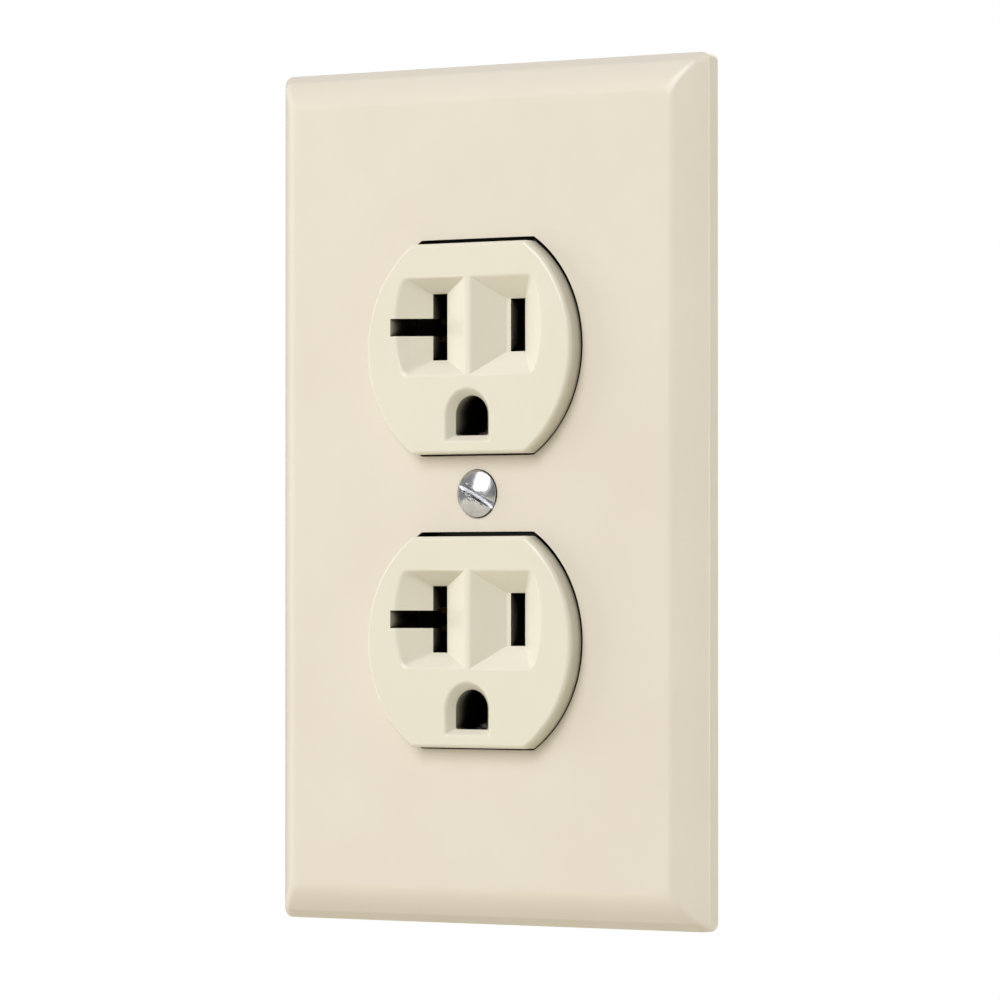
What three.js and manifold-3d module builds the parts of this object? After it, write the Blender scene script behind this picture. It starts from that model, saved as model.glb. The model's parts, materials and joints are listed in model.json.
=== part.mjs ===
// Duplex wall outlet, 20 A 125 V, with its one-gang cover plate, taken apart into its real pieces.
// Millimetres. +X is right and +Z is up as seen from the room, +Y points into the wall.
// The origin is on the plate screw's axis in the plane of the wall surface (Y = 0), which the back
// of the strap and the rim of the cover plate both touch.
import * as THREE from "three";
import { mergeVertices } from "three/addons/utils/BufferGeometryUtils.js";
import { ConvexGeometry } from "three/addons/geometries/ConvexGeometry.js";
import Module from "manifold-3d";

// ---------- driving dimensions ----------

const BIG_ROUND = 56; // segments in the full circle of an outlet face or plate opening
const SMALL_ROUND = 24; // segments in the full circle of a screw, hole or rivet
const PAST = 1; // how far a cutter runs past the surface that it opens

const PLATE = {
  width: 69.85,
  height: 114.3,
  depth: 5.4,
  side: 2.05, // height of the upright side wall above the rim
  steep: { inset: 1.075, depth: 3.45 }, // where the steep outer band meets the rounded slope
  slopeStart: 45, // degrees between that slope's start and the front face
  slope: { sides: 4.4, ends: 5.2 }, // inset where the slope has run out into the flat front
  corner: 1.2, // plan radius of the corners at the rim
  innerCorner: 0.5, // plan radius left where the slope meets the flat
  panel: 2.3, // thickness of the front panel
  rim: 1.6, // thickness of the rim at the wall
  wallIn: 1.0, // where the hollow starts to narrow, in front of the wall plane
  hollowIn: 5.4, // inset of the hollow at the panel
  screwHole: 2.0,
  countersink: { mouth: 3.27, throat: 1.9, deep: 1.5 },
};

const RIB = { x: 21.2, half: 46, thick: 1.0, back: -0.9, cross: [-40, -14, 14, 40] };

const OUTLET = {
  pitch: 38.9, // centre to centre of the two outlets
  drop: 0.2, // the device hangs this much low in the plate's openings
  radius: 16.8,
  flat: 14.0, // half height across the top and bottom flats
  proud: 2.3, // how far the faces stand in front of the plate
  edge: 0.6, // rounding of the face's front edge
  openingRadius: 17.05,
  openingFlat: 14.35,
};

const SLOTS = {
  lift: 3.0, // the blade line above the outlet's centre
  half: 6.35, // each blade slot's distance from the outlet's centre line
  width: 2.35,
  line: 6.95, // height of the plain line slot
  neutral: 8.85, // height of the T slot's upright
  armReach: 12.75, // outer end of the T slot's arm
  arm: 2.35, // height of the T slot's arm
  recessReach: 12.0, // half width of the lead-in recess
  recessRadius: 16.9, // curve of its rounded sides
  recessHalf: 6.5, // half height of the lead-in recess
  ridge: 0.4, // half width of the ridge left between the two lead-ins
  ledge: 0.7, // flat left beside the line slot, towards the ridge
  neutralDepth: 2.6, // the T slot's lead-in depth
  lineDepth: 2.75, // the line slot's lead-in depth
};

const GROUND = {
  below: 11.9, // ground hole under the blade line
  radius: 2.65,
  leadIn: 1.0, // how much wider the lead-in is than the hole
  sillLeadIn: 0.8, // the same below its flat sill
  leadInDepth: 1.1,
  collar: 3.3, // outside of the tube that carries the hole through the strap
};

// The chambers behind the slots, as distances out from the centre line and up from the blade line.
const CHAMBER = {
  front: -3.45,
  line: { near: 4.6, far: 8.4, half: 4.0 },
  neutral: { near: 4.6, far: 13.1, half: 4.9 },
};

const FACE_BASE = { half: 16.5, halfHeight: 34.4, corner: 3, proud: 2.45 }; // joins the two faces

const STRAP = {
  thick: 1.3,
  length: 106.4,
  bar: 4.6, // half width of the bar between the two outlets' blades
  end: 12.6, // half width of the ends
  endStart: 35.0, // where the ends begin, from the centre
  earX: 15.9,
  earZ: 49.4,
  earRadius: 3.5,
  screwPitch: 83.34, // between the two box screws
  slotHalf: 3.6,
  slotRadius: 1.95,
  corner: 2.5,
  earNeck: 1.1, // half width of the neck that an ear breaks off at
  earHole: 1.5,
  pinHole: 3.4, // round the face's ground tubes
};

const BODY = {
  half: 16.8,
  halfHeight: 34.6,
  back: 22.5,
  frontLip: 1.25, // the body's front edge stands this far in front of the wall plane
  corner: 2,
  chamfer: 2.2, // round its back
  sideChamfer: 1.2,
  troughEnd: 4.6, // the contact troughs run this far past the blade lines
  troughRoom: 0.4, // behind the contacts
  lineTrough: 3.7, // inner edge of the line side's trough
  neutralTrough: 4.4,
  tabWindow: { front: 7.6, back: 13.6, half: 3.4 }, // reaches the break-off tabs
  groundPocket: { half: 4.25, back: 16.2, below: 3.8, above: 2.7 },
};

const METAL = 0.8; // stamped contact metal
const CONTACT_BACK = 18.4; // deepest face of the line and neutral contacts
const GAP = 0.05; // between pieces that touch
const ROOM = 0.2; // round metal pieces in their moulded pockets
const TIP = { long: 0.7, narrower: 0.6 }; // the chamfered end of every screw
const RUNNING = 0.1; // radial clearance of a screw in its hole

const TERMINAL = {
  z: 10.8, // above and below the device's centre
  y: 9.5,
  plate: 12.8, // outer face of the contact's side plate, from the centre
  clamp: 8.4, // side of the square pressure plate
  clampThick: 1.2,
  shank: 2.05, // 8-32 thread
  tip: 8.2, // how close the screw's tip comes to the centre
  head: 3.9,
  headHeight: 2.0,
  clampCorner: 1, // cut off each corner of the pressure plate
  trough: { below: 0.7, out: 3.15, radius: 1.1 }, // each wire's groove in the pressure plate
};

const GROUND_TERMINAL = {
  y: 6.2,
  z: -40.5,
  half: 4.7, // half height of the bent tab
  shank: 2.35, // 10-32 thread
  reach: 6.3,
  flange: 4.1,
  flangeThick: 0.7,
  hex: 3.6,
  chamfer: 0.4,
  slot: 1.1, // its width and its depth
  headHeight: 2.6,
};
const PLATE_SCREW = {
  shank: 1.65, // 6-32 thread
  head: 3.15,
  land: 0.3, // straight edge of the head, which stands proud of the plate's face
  dome: 0.95,
  length: 12.7, // behind the land
  slot: 1.05,
  slotDepth: 1.25,
  turn: 30, // degrees that the slot has turned past level
  faceHole: 2.6, // clearance hole in the outlet face
  well: { radius: 2.4, deep: 10 }, // in the body, for the screw's end
};
const BOX_SCREW = { shank: 1.7, head: 3.5, headHeight: 1.5, length: 19 };
const WIRE = { x: 13.9, out: 2.9, radius: 1.3 }; // holes in the back, two to each terminal
const WASHER = { half: 3.9, thick: 0.85, corner: 0.6 };
const ASSEMBLY = {
  x: 13.6,
  z: 31.0,
  shank: 1.3,
  head: 2.6,
  headHeight: 1.6,
  slot: 0.8,
  sides: 16,
  post: 2.4, // radius of the moulded post that each screw holds
  postEnd: 6.0,
  holeFront: -0.8, // where the screw's hole in the post ends
  tip: -0.5,
  headRoom: 0.45, // depth of the recessed heads below the body's back
};
const RIVET = {
  shank: 1.2,
  head: 2.2,
  headHeight: 0.65,
  above: 6.2, // over the ground hole
  sides: 16,
  pocket: 2.5, // radius of the room for its head behind the outlet face
  pocketFront: -2.15,
};

// ---------- places worked out from them ----------

const plateFront = -PLATE.depth;
const plateInside = plateFront + PLATE.panel;
const faceFront = plateFront - OUTLET.proud;
const outletZ = { upper: OUTLET.pitch / 2 - OUTLET.drop, lower: -OUTLET.pitch / 2 - OUTLET.drop };
const bladeZ = (which) => outletZ[which] + SLOTS.lift;
const groundZ = (which) => bladeZ(which) - GROUND.below;
const baseFront = -FACE_BASE.proud;
const baseBack = -STRAP.thick - GAP;

// ---------- materials ----------

const paint = (color, roughness, metalness = 0) =>
  new THREE.MeshStandardMaterial({ color, roughness, metalness });
const IVORY_PLATE = paint(0xe6ddcc, 0.35);
const IVORY_FACE = paint(0xe7e0cb, 0.35);
const BODY_PLASTIC = paint(0x3a3c3f, 0.55);
const ZINC = paint(0xb9bcc0, 0.35, 1);
const NICKEL = paint(0xcfd0d2, 0.22, 1);
const BRASS = paint(0xc9a04b, 0.3, 1);
const GREEN = paint(0x2f7d45, 0.4, 1);
const FIBRE = paint(0x9b6a45, 0.8);

// ---------- from three.js geometry to solids and back ----------

const wasm = await Module();
wasm.setup();

function solid(geometry) {
  const bare = geometry.index ? geometry.toNonIndexed() : geometry.clone();
  bare.deleteAttribute("normal");
  bare.deleteAttribute("uv");
  const merged = mergeVertices(bare, 1e-4);
  return new wasm.Manifold(
    new wasm.Mesh({
      numProp: 3,
      vertProperties: merged.attributes.position.array,
      triVerts: new Uint32Array(merged.index.array),
    }),
  );
}

// A named mesh of a solid, set at a place and turned about one axis.
function piece(name, made, material, place = [0, 0, 0], turn = {}) {
  const mesh = made.getMesh();
  const geometry = new THREE.BufferGeometry();
  geometry.setAttribute("position", new THREE.BufferAttribute(mesh.vertProperties, 3));
  geometry.setIndex(new THREE.BufferAttribute(mesh.triVerts, 1));
  geometry.computeVertexNormals();
  const part = new THREE.Mesh(geometry, material.clone());
  part.name = name;
  part.position.set(...place);
  part.rotation.set(turn.x ?? 0, turn.y ?? 0, turn.z ?? 0);
  return part;
}

const cutAll = (made, cutters) => cutters.reduce((left, cutter) => left.subtract(cutter), made);
const joinAll = (made) => made.reduce((sum, one) => sum.add(one));

// ---------- outlines: lists of points in a plane ----------

const point = (a, b) => new THREE.Vector2(a, b);

const rectangle = (a0, a1, b0, b1) => [point(a0, b0), point(a1, b0), point(a1, b1), point(a0, b1)];

function arc(a, b, radius, from, to, steps) {
  return Array.from({ length: steps + 1 }, (_, i) => {
    const turn = from + ((to - from) * i) / steps;
    return point(a + radius * Math.cos(turn), b + radius * Math.sin(turn));
  });
}

const circle = (a, b, radius, steps = SMALL_ROUND) =>
  arc(a, b, radius, 0, 2 * Math.PI, steps).slice(0, steps);

function roundedRectangle(halfA, halfB, radius, steps = 5) {
  const corners = [[1, 1], [-1, 1], [-1, -1], [1, -1]];
  const quarter = Math.PI / 2;
  return corners.flatMap(([a, b], i) =>
    arc(a * (halfA - radius), b * (halfB - radius), radius, i * quarter, (i + 1) * quarter, steps));
}

// A circle cut off flat above and below, as the outlet faces are.
function flattenedCircle(z, radius, flat, steps = BIG_ROUND) {
  const reach = Math.asin(flat / radius);
  const half = Math.round((steps * reach) / Math.PI);
  return [
    ...arc(0, z, radius, -reach, reach, half),
    ...arc(0, z, radius, Math.PI - reach, Math.PI + reach, half),
  ];
}

// An arch standing on a flat sill, as a ground hole is.
const arch = (z, radius, sill) => [
  point(-radius, z - sill),
  point(radius, z - sill),
  ...arc(0, z, radius, 0, Math.PI, SMALL_ROUND / 2),
];

// A slot with round ends, lying along the first axis.
const roundSlot = (a, b, half, radius) => [
  ...arc(a + half - radius, b, radius, -Math.PI / 2, Math.PI / 2, SMALL_ROUND / 2),
  ...arc(a - half + radius, b, radius, Math.PI / 2, (3 * Math.PI) / 2, SMALL_ROUND / 2),
];

// ---------- solids from outlines ----------

const X = new THREE.Vector3(1, 0, 0);
const Y = new THREE.Vector3(0, 1, 0);
const Z = new THREE.Vector3(0, 0, 1);

function prism(outline, from, to, basis) {
  const shape = new THREE.Shape(outline);
  const geometry = new THREE.ExtrudeGeometry(shape, { depth: to - from, bevelEnabled: false });
  geometry.translate(0, 0, from);
  return solid(geometry.applyMatrix4(basis));
}

// Outline in X and Z, standing along Y.
const alongY = (outline, y0, y1) =>
  prism(outline, -y1, -y0, new THREE.Matrix4().makeBasis(X, Z, Y.clone().negate()));
// Outline in Y and Z, standing along X.
const alongX = (outline, x0, x1) => prism(outline, x0, x1, new THREE.Matrix4().makeBasis(Y, Z, X));
// Outline in X and Y, standing along Z.
const alongZ = (outline, z0, z1) => prism(outline, z0, z1, new THREE.Matrix4());

const box = (x0, x1, y0, y1, z0, z1) => alongZ(rectangle(x0, x1, y0, y1), z0, z1);

// The convex solid that joins outlines in X and Z, each at its own Y.
function tapered(...rings) {
  const points = rings.flatMap(([outline, y]) => outline.map((p) => new THREE.Vector3(p.x, y, p.y)));
  return solid(new ConvexGeometry(points));
}

// A turned solid on the Y axis from [radius, y] pairs that start and end on the axis.
const turned = (profile, steps = SMALL_ROUND) =>
  solid(new THREE.LatheGeometry(profile.map(([radius, y]) => point(radius, y)), steps));

// A distance range out from the centre, on the right (side 1) or the left (side -1).
const across = (side, near, far) => (side > 0 ? [near, far] : [-far, -near]);
const sideBox = (side, near, far, ...rest) => box(...across(side, near, far), ...rest);

// ---------- cover plate and its screw ----------

// The plate's outline moved in by an inset, at a depth. Its two ends can be moved in further.
function plateRing(inset, y, endInset = inset) {
  const radius = Math.max(PLATE.corner - inset, PLATE.innerCorner);
  return [roundedRectangle(PLATE.width / 2 - inset, PLATE.height / 2 - endInset, radius), y];
}

// The rounded slope is a curve that starts at the steep band and runs flat into the front.
function slopeRings() {
  const { steep, depth, slope, slopeStart } = PLATE;
  const lean = (depth - steep.depth) / Math.tan(THREE.MathUtils.degToRad(slopeStart));
  const curve = new THREE.QuadraticBezierCurve(
    point(steep.inset, -steep.depth),
    point(steep.inset + lean, -depth),
    point(slope.sides, -depth),
  );
  const stretch = (slope.ends - steep.inset) / (slope.sides - steep.inset);
  return curve.getPoints(6).map((p) => plateRing(p.x, p.y, steep.inset + (p.x - steep.inset) * stretch));
}

function plateRibs() {
  const { x, half, thick, back, cross } = RIB;
  const front = plateInside - PLATE.panel / 2;
  const wall = PLATE.width / 2 - PLATE.hollowIn + PAST;
  return [-1, 1].flatMap((side) => [
    sideBox(side, x, x + thick, front, back, -half, half),
    ...cross.map((z) => sideBox(side, x + thick / 2, wall, front, back, z - thick / 2, z + thick / 2)),
  ]);
}

function wallPlate() {
  const outside = tapered(plateRing(0, 0), plateRing(0, -PLATE.side), ...slopeRings());
  const hollow = tapered(
    plateRing(PLATE.rim, PAST),
    plateRing(PLATE.rim, -PLATE.wallIn),
    plateRing(PLATE.hollowIn, plateInside),
  );
  const openings = [1, -1].map((side) =>
    alongY(
      flattenedCircle((side * OUTLET.pitch) / 2, OUTLET.openingRadius, OUTLET.openingFlat),
      plateFront - PAST,
      plateInside + PAST,
    ));
  const screwHole = alongY(circle(0, 0, PLATE.screwHole), plateFront - PAST, plateInside + PAST);
  const { mouth, throat, deep } = PLATE.countersink;
  const flare = (mouth - throat) / deep;
  const countersink = tapered(
    [circle(0, 0, mouth + flare * PAST), plateFront - PAST],
    [circle(0, 0, throat), plateFront + deep],
  );
  return cutAll(joinAll([outside.subtract(hollow), ...plateRibs()]), [...openings, screwHole, countersink]);
}

// The last points of a screw's profile.
const screwEnd = (shank, length) => [
  [shank, length - TIP.long],
  [shank - TIP.narrower, length],
  [0, length],
];

// A screwdriver slot across a head whose highest point is at top.
const slotAcross = (head, width, top, depth) =>
  box(-head - PAST, head + PAST, top - PAST, top + depth, -width / 2, width / 2);

// Oval head countersunk screw: a low dome and a short straight edge over an 82 degree cone.
function plateScrew() {
  const { shank, head, land, dome, length, slot, slotDepth } = PLATE_SCREW;
  const cone = (head - shank) / Math.tan(THREE.MathUtils.degToRad(41));
  const domeRadius = (head * head + dome * dome) / (2 * dome);
  const domeCurve = Array.from({ length: 7 }, (_, i) => {
    const radius = (head * i) / 6;
    return [radius, domeRadius - dome - Math.sqrt(domeRadius ** 2 - radius ** 2)];
  });
  const sunk = [[head, land], [shank, land + cone], ...screwEnd(shank, land + length)];
  const body = turned([...domeCurve, ...sunk]);
  return body.subtract(slotAcross(head, slot, -dome, slotDepth));
}

// ---------- outlet faces: one moulding for both outlets ----------

function island(which) {
  const z = outletZ[which];
  const { radius, flat, edge } = OUTLET;
  const rings = [0, 0.5, 1].map((share) => {
    const turn = (share * Math.PI) / 2;
    const inset = edge * (1 - Math.sin(turn));
    return [flattenedCircle(z, radius - inset, flat - inset), faceFront + edge * (1 - Math.cos(turn))];
  });
  return tapered(...rings, [flattenedCircle(z, radius, flat), baseFront + GAP]);
}

// One side of the lead-in recess: rounded outside, straight along the ridge.
function recessOutline(z, side) {
  const { recessReach, recessRadius, recessHalf, ridge } = SLOTS;
  const reach = Math.asin(recessHalf / recessRadius);
  const rounded = arc(recessReach - recessRadius, z, recessRadius, -reach, reach, 8);
  return [
    point(side * ridge, z - recessHalf),
    ...rounded.map((p) => point(side * p.x, p.y)),
    point(side * ridge, z + recessHalf),
  ];
}

function bladeSlots(which) {
  const z = bladeZ(which);
  const half = SLOTS.width / 2;
  const lineFloor = faceFront + SLOTS.lineDepth;
  const neutralFloor = faceFront + SLOTS.neutralDepth;
  const { line, neutral, front } = CHAMBER;
  const upright = (x, height) => rectangle(x - half, x + half, z - height / 2, z + height / 2);
  const ledge = SLOTS.half - half - SLOTS.ledge;
  const lineThroat = rectangle(ledge, SLOTS.half + half, z - SLOTS.line / 2, z + SLOTS.line / 2);
  const lineRecess = tapered([recessOutline(z, 1), faceFront], [lineThroat, lineFloor]);
  const neutralRecess = tapered(
    [recessOutline(z, -1), faceFront],
    [upright(-SLOTS.half, SLOTS.neutral), neutralFloor],
  );
  return [
    lineRecess,
    neutralRecess,
    alongY(upright(SLOTS.half, SLOTS.line), lineFloor - PAST, PAST),
    alongY(upright(-SLOTS.half, SLOTS.neutral), neutralFloor - PAST, PAST),
    box(-SLOTS.armReach, -SLOTS.half, faceFront - PAST, PAST, z - SLOTS.arm / 2, z + SLOTS.arm / 2),
    sideBox(1, line.near, line.far, front, PAST, z - line.half, z + line.half),
    sideBox(-1, neutral.near, neutral.far, front, PAST, z - neutral.half, z + neutral.half),
  ];
}

function groundHole(which) {
  const z = groundZ(which);
  const { radius, leadIn, sillLeadIn, leadInDepth } = GROUND;
  return [
    tapered(
      [arch(z, radius + leadIn, radius + sillLeadIn), faceFront],
      [arch(z, radius, radius), faceFront + leadInDepth],
    ),
    alongY(arch(z, radius, radius), faceFront - PAST, PAST),
  ];
}

const assemblyPoints = [-1, 1].flatMap((x) => [-1, 1].map((z) => [x * ASSEMBLY.x, z * ASSEMBLY.z]));

function deviceFace() {
  const { half, halfHeight, corner } = FACE_BASE;
  const base = alongY(roundedRectangle(half, halfHeight, corner), baseFront, baseBack);
  const { post, postEnd, shank, holeFront } = ASSEMBLY;
  const posts = assemblyPoints.map(([x, z]) => alongY(circle(x, z, post), baseFront, postEnd));
  const collars = ["upper", "lower"].map((which) =>
    alongY(circle(0, groundZ(which), GROUND.collar), baseFront, -GAP));
  const rivetPockets = ["upper", "lower"].map((which) =>
    alongY(circle(0, groundZ(which) + RIVET.above, RIVET.pocket), RIVET.pocketFront, PAST));
  const body = joinAll([base, island("upper"), island("lower"), ...posts, ...collars]);
  return cutAll(body, [
    ...["upper", "lower"].flatMap((which) => [...bladeSlots(which), ...groundHole(which)]),
    ...rivetPockets,
    ...assemblyPoints.map(([x, z]) => alongY(circle(x, z, shank + RUNNING), holeFront, postEnd + PAST)),
    alongY(circle(0, 0, PLATE_SCREW.faceHole), baseFront - PAST, PAST),
  ]);
}

// ---------- mounting strap ----------

const slabHole = (outline) => alongY(outline, -STRAP.thick - PAST, PAST);

function mountingStrap() {
  const half = STRAP.length / 2;
  const { end, endStart, corner, earX, earZ, earNeck, earRadius } = STRAP;
  const slab = (outline) => alongY(outline, -STRAP.thick, 0);
  const bar = slab(rectangle(-STRAP.bar, STRAP.bar, -half + corner, half - corner));
  const endOutline = (side) =>
    roundedRectangle(end, (half - endStart) / 2, corner).map((p) =>
      point(p.x, p.y + (side * (half + endStart)) / 2));
  const ends = [-1, 1].flatMap((side) => [
    slab(endOutline(side)),
    slab(rectangle(-earX, earX, side * earZ - earNeck, side * earZ + earNeck)),
    ...[-1, 1].map((x) => slab(circle(x * earX, side * earZ, earRadius))),
  ]);
  const { y, z, half: tabHalf, shank } = GROUND_TERMINAL;
  const outer = -end - STRAP.thick;
  const tabRoot = slab(rectangle(outer, -end + PAST, z - tabHalf, z + tabHalf));
  const tabOutline = [
    point(-STRAP.thick, z - tabHalf),
    ...clippedEnd(y + tabHalf, z, tabHalf),
    point(-STRAP.thick, z + tabHalf),
  ];
  const tab = alongX(tabOutline, outer, -end);
  const holes = [
    slabHole(circle(0, 0, PLATE_SCREW.shank + RUNNING)),
    ...["upper", "lower"].flatMap((which) => [
      slabHole(circle(0, groundZ(which), STRAP.pinHole)),
      slabHole(circle(0, groundZ(which) + RIVET.above, RIVET.shank + RUNNING)),
    ]),
    ...[-1, 1].flatMap((side) => [
      slabHole(roundSlot(0, (side * STRAP.screwPitch) / 2, STRAP.slotHalf, STRAP.slotRadius)),
      ...[-1, 1].map((x) => slabHole(circle(x * earX, side * earZ, STRAP.earHole, 16))),
    ]),
    alongX(circle(y, z, shank + RUNNING), outer - PAST, -end + PAST),
  ];
  return cutAll(joinAll([bar, ...ends, tabRoot, tab]), holes);
}

// The free end of the ground tab, with its two corners cut off.
function clippedEnd(end, z, half) {
  const clip = 2;
  return [
    point(end - clip, z - half),
    point(end, z - half + clip),
    point(end, z + half - clip),
    point(end - clip, z + half),
  ];
}

// ---------- contacts ----------

const contactFront = 3.2; // mouth of the blade contacts
const busInner = 9.0; // inner edge of the strip that joins the two contacts of one side
const BUS = { sideHalf: 17, sideFront: 5, reach: 4, tabFront: 8.6, tabBack: 12.6, neck: 3, tabHole: 0.7 };
const LINE_CLIP = { half: 3.2, root: 1.2, pinch: 0.7, mouth: 1.35, pinchY: 6.4, foot: 2.0 };
const NEUTRAL_CLIP = { half: 4.0, grip: 0.75, reach: 12.4 };
const GROUND_CONTACT = {
  half: 4.1,
  below: 3.5,
  above: 2.3, // past the rivet
  leafHalf: 2.6,
  root: 3.0,
  pinch: 2.3,
  pinchY: 10.0,
  mouth: 2.8,
  end: 15.6,
  hole: 3.0,
};

// The strip and side plate that join one side's upper and lower contacts, with the break-off tab.
function contactBus(pole) {
  const { sideHalf, sideFront, reach, tabFront, tabBack, neck, tabHole } = BUS;
  const outer = TERMINAL.plate;
  const inner = outer - METAL;
  const floor = CONTACT_BACK - METAL;
  const bottom = bladeZ("lower") - reach;
  const top = bladeZ("upper") + reach;
  const strip = sideBox(pole, busInner, outer, floor, CONTACT_BACK, bottom, top);
  const side = sideBox(pole, inner, outer, sideFront, CONTACT_BACK, -sideHalf, sideHalf);
  const through = across(pole, inner - PAST, outer + PAST);
  const screwHole = (z) => alongX(circle(TERMINAL.y, z, TERMINAL.shank + RUNNING), ...through);
  return cutAll(strip.add(side), [
    sideBox(pole, busInner - PAST, inner, floor - PAST, CONTACT_BACK + PAST, -neck, neck),
    box(...through, tabBack, CONTACT_BACK + PAST, -neck, neck),
    box(...through, sideFront - PAST, tabFront, -neck, neck),
    alongX(circle((tabFront + tabBack) / 2, 0, tabHole, 12), ...through),
    screwHole(TERMINAL.z),
    screwHole(-TERMINAL.z),
  ]);
}

// Two leaves that pinch an upright blade between them, seen in X and Y.
function lineClip(which) {
  const z = bladeZ(which);
  const { half, root, pinch, mouth, pinchY, foot } = LINE_CLIP;
  const leaf = (side) => [
    point(SLOTS.half + side * root, CONTACT_BACK),
    point(SLOTS.half + side * pinch, pinchY),
    point(SLOTS.half + side * mouth, contactFront),
    point(SLOTS.half + side * (mouth + METAL), contactFront),
    point(SLOTS.half + side * (pinch + METAL), pinchY),
    point(SLOTS.half + side * (root + METAL), CONTACT_BACK),
  ];
  return [
    alongZ(leaf(1), z - half, z + half),
    alongZ(leaf(-1), z - half, z + half),
    box(SLOTS.half - foot, busInner + PAST, CONTACT_BACK - METAL, CONTACT_BACK, z - half, z + half),
  ];
}

const lineContact = () => joinAll([contactBus(1), ...lineClip("upper"), ...lineClip("lower")]);

// A T-shaped grip: one straight leaf, and two bent ones that leave a gap for a level blade.
function neutralClip(which) {
  const z = bladeZ(which);
  const { half, grip, reach } = NEUTRAL_CLIP;
  const near = -SLOTS.half + grip;
  const far = -SLOTS.half - grip;
  const heights = (side, from, to) => across(side, from, to).map((height) => z + height);
  const bent = (side) => [
    box(far - METAL, far, contactFront, CONTACT_BACK, ...heights(side, grip, half)),
    box(-reach, far, contactFront, CONTACT_BACK, ...heights(side, grip, grip + METAL)),
  ];
  const straight = box(near, near + METAL, contactFront, CONTACT_BACK, z - half, z + half);
  const foot = box(-busInner - PAST, near + METAL, CONTACT_BACK - METAL, CONTACT_BACK, z - half, z + half);
  return [straight, ...bent(1), ...bent(-1), foot];
}

const neutralContact = () => joinAll([contactBus(-1), ...neutralClip("upper"), ...neutralClip("lower")]);

// Flange behind the strap with a hole for the pin, and two leaves that grip it.
function groundContact(which) {
  const z = groundZ(which);
  const { half, below, above, leafHalf, root, pinch, pinchY, mouth, end, hole } = GROUND_CONTACT;
  const front = GAP;
  const back = front + METAL;
  const flange = box(-half, half, front, back, z - below, z + RIVET.above + above);
  const leaf = (side) => [
    point(side * root, front),
    point(side * pinch, pinchY),
    point(side * mouth, end),
    point(side * (mouth + METAL), end),
    point(side * (pinch + METAL), pinchY),
    point(side * (root + METAL), front),
  ];
  const leaves = [1, -1].map((side) => alongZ(leaf(side), z - leafHalf, z + leafHalf));
  return cutAll(joinAll([flange, ...leaves]), [
    alongY(circle(0, z, hole), front - PAST, back + PAST / 2),
    alongY(circle(0, z + RIVET.above, RIVET.shank + RUNNING), front - PAST, back + PAST),
  ]);
}

function groundRivet() {
  const front = -STRAP.thick - 2 * GAP;
  const back = METAL + 3 * GAP;
  const { shank, head, headHeight } = RIVET;
  return turned([
    [0, front - headHeight],
    [head * 0.75, front - headHeight],
    [head, front - headHeight * 0.5],
    [head, front],
    [shank, front],
    [shank, back],
    [head, back],
    [head, back + headHeight * 0.5],
    [head * 0.75, back + headHeight],
    [0, back + headHeight],
  ], RIVET.sides);
}

// ---------- back body ----------

function backBody() {
  const { half, halfHeight, back, frontLip, corner, chamfer, sideChamfer } = BODY;
  const shell = tapered(
    [roundedRectangle(half, halfHeight, corner), -frontLip],
    [roundedRectangle(half, halfHeight, corner), back - chamfer],
    [roundedRectangle(half - sideChamfer, halfHeight - chamfer, corner), back],
  );
  const front = -frontLip - PAST;
  const channel = rectangle(-STRAP.bar - ROOM, STRAP.bar + ROOM, -halfHeight - PAST, halfHeight + PAST);
  const strapChannel = alongY(channel, front, GAP);
  return cutAll(shell, [
    strapChannel,
    ...contactTroughs(front),
    ...terminalBays(),
    ...wireHoles(),
    ...groundPockets(front),
    alongY(circle(0, 0, PLATE_SCREW.well.radius), front, PLATE_SCREW.well.deep),
    ...assemblyHoles(front),
  ]);
}

function contactTroughs(front) {
  const { troughEnd, troughRoom, lineTrough, neutralTrough } = BODY;
  const outer = TERMINAL.plate + RUNNING;
  const back = CONTACT_BACK + troughRoom;
  const top = bladeZ("upper") + troughEnd;
  const bottom = bladeZ("lower") - troughEnd;
  return [
    sideBox(1, lineTrough, outer, front, back, bottom, top),
    sideBox(-1, neutralTrough, outer, front, back, bottom, top),
  ];
}

// Openings in the two sides for the terminals and the break-off tabs.
function terminalBays() {
  const reach = TERMINAL.clamp / 2 + ROOM;
  const { tabWindow } = BODY;
  const bay = (side, y0, y1, z0, z1) =>
    sideBox(side, TERMINAL.plate - METAL / 2, BODY.half + PAST, y0, y1, z0, z1);
  const terminalBay = (side, z) =>
    bay(side, TERMINAL.y - reach, TERMINAL.y + reach, z - reach, z + reach);
  return [-1, 1].flatMap((side) => [
    terminalBay(side, TERMINAL.z),
    terminalBay(side, -TERMINAL.z),
    bay(side, tabWindow.front, tabWindow.back, -tabWindow.half, tabWindow.half),
  ]);
}

function wireHoles() {
  const { x, out, radius } = WIRE;
  const heights = [TERMINAL.z + out, TERMINAL.z - out, out - TERMINAL.z, -out - TERMINAL.z];
  const hole = (side, z) => alongY(circle(side * x, z, radius, 12), TERMINAL.y, BODY.back + PAST);
  return [-1, 1].flatMap((side) => heights.map((z) => hole(side, z)));
}

function groundPockets(front) {
  const { half, back, below, above } = BODY.groundPocket;
  const pocket = (z) => box(-half, half, front, back, z - below, z + RIVET.above + above);
  return [pocket(groundZ("upper")), pocket(groundZ("lower"))];
}

// A pocket for the face's post, a clear hole and a counterbore for the head.
function assemblyHoles(front) {
  const { post, postEnd, shank, head, headHeight, headRoom } = ASSEMBLY;
  const outside = BODY.back + PAST;
  return assemblyPoints.flatMap(([x, z]) => [
    alongY(circle(x, z, post + ROOM), front, postEnd + ROOM),
    alongY(circle(x, z, shank + ROOM), front, outside),
    alongY(circle(x, z, head + ROOM), BODY.back - headHeight - headRoom - GAP, outside),
  ]);
}

// ---------- screws, pressure plates and washers ----------

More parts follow.
